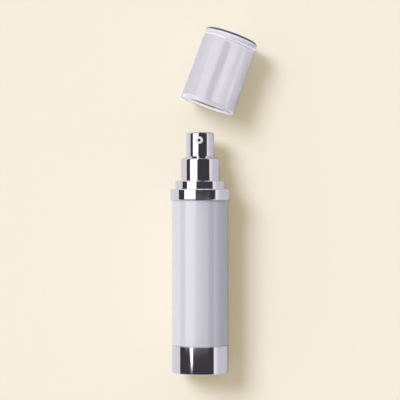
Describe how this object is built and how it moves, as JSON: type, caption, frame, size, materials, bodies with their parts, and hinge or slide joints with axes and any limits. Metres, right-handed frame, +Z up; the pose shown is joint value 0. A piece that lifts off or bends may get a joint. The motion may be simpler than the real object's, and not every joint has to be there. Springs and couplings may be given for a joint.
{
  "type": "airless pump bottle",
  "caption": "Straight cylindrical airless pump bottle lying flat, metal-look stepped shoulder, button and base, clear double-wall cap taken off; the button presses and the cap swings back on.",
  "frame": {"origin": "centre of the flat foot, on the bottle's axis", "axes": "+Y along the bottle from the foot towards the pump, +Z up from the table that it lies on, +X to the right"},
  "size_m": [0.0494, 0.1969, 0.0342],
  "materials": {
    "clear_acrylic": "clear, polished",
    "bottle_pearl": "glossy, pearly lavender white",
    "cap_liner_plastic": "smooth, pale lavender",
    "bottle_plastic": "smooth, lavender white",
    "button_metal": "polished silver",
    "collar_metal": "polished silver",
    "shoulder_metal": "polished silver",
    "base_metal": "polished silver",
    "nozzle_white": "smooth, white",
    "core_plastic": "white, moulded",
    "pump_plastic": "natural, slightly translucent",
    "gasket_rubber": "soft, matte",
    "spring_wire": "drawn wire",
    "stem_plastic": "white, smooth",
    "piston_plastic": "soft white, waxy",
    "ball_steel": "ground and polished"
  },
  "bodies": {
    "bottle": {"outer_bottle": "bottle_pearl", "inner_bottle": "bottle_plastic", "base_cup": "base_metal", "bottom_plug": "pump_plastic", "shoulder_ring": "shoulder_metal", "collar_sleeve": "collar_metal", "closure_ring": "pump_plastic", "neck_gasket": "gasket_rubber", "pump_housing": "pump_plastic", "housing_lock_ring": "pump_plastic", "return_spring": "spring_wire"},
    "stem": {"outer_stem": "stem_plastic", "piston_rod": "stem_plastic"},
    "head": {"actuator_shell": "button_metal", "actuator_core": "core_plastic", "nozzle_tip": "nozzle_white"},
    "chamber_piston": {"pump_piston": "piston_plastic"},
    "ball": {"inlet_ball": "ball_steel"},
    "follower": {"follower_piston": "piston_plastic"},
    "cap": {"cap_shell": "clear_acrylic", "cap_liner": "cap_liner_plastic"}
  },
  "joints": [
    {"name": "button_press", "type": "slide", "parent": "bottle", "child": "stem", "axis": [0, -1, 0], "range_m": [0, 0.005], "stiffness_N_per_m": 1200, "springref_m": -0.004, "deforming": ["return_spring"]},
    {"name": "button_turn", "type": "hinge", "parent": "stem", "child": "head", "pos_m": [0, 0.125, 0], "axis": [0, 1, 0], "continuous": true},
    {"name": "outlet_slip", "type": "slide", "parent": "stem", "child": "chamber_piston", "axis": [0, 1, 0], "range_m": [0, 0.0006]},
    {"name": "inlet_lift", "type": "slide", "parent": "bottle", "child": "ball", "axis": [0, 1, 0], "range_m": [0, 0.0006]},
    {"name": "follower_rise", "type": "slide", "parent": "bottle", "child": "follower", "axis": [0, 1, 0], "range_m": [0, 0.0834]},
    {"name": "cap_swing", "type": "hinge", "parent": "bottle", "child": "cap", "pos_m": [0.13888, 0.11696, 0], "axis": [0.0553, 0.0188, 0.9983], "range_deg": [0, 19.63]}
  ]
}
